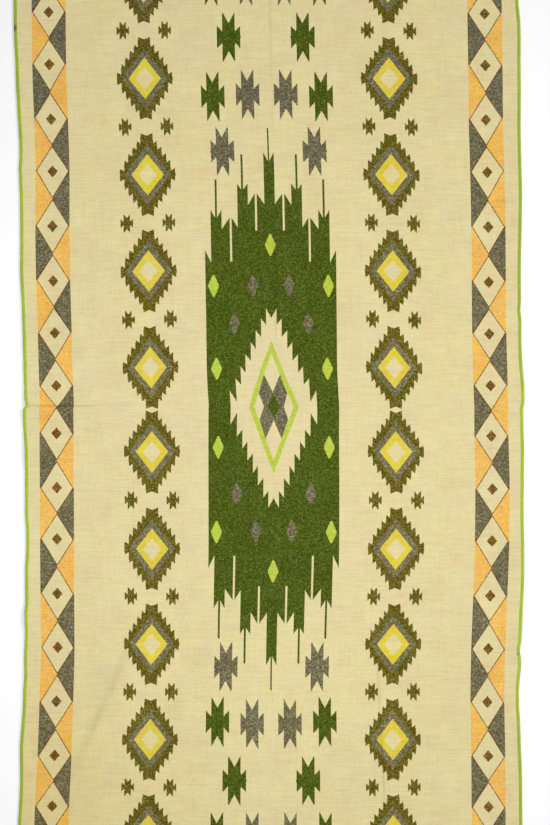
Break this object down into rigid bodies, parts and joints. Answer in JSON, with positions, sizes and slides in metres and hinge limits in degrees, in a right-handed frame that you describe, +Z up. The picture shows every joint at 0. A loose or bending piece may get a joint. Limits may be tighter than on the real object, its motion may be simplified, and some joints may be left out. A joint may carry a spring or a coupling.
{
  "type": "woven alpaca blanket",
  "caption": "Large flat woven blanket with a mirrored geometric pattern and a yarn edging overlocked round its edges, for covering a bed or a person.",
  "frame": {"origin": "on the resting surface, under the middle of the blanket's outline", "axes": "+Y along the blanket's length towards its head, +X across its width to the right, +Z up from the surface, out of its face"},
  "size_m": [1.2803, 2.332, 0.0099],
  "materials": {
    "cloth": "matt woven alpaca, slightly brushed, cream with green, olive, grey, yellow, orange and brown figures",
    "edging": "matt lime yarn, overlocked in close slanting stitches"
  },
  "bodies": {
    "root": {"cloth": "cloth", "edging_left": "edging", "edging_right": "edging", "edging_head": "edging", "edging_foot": "edging"}
  },
  "joints": []
}
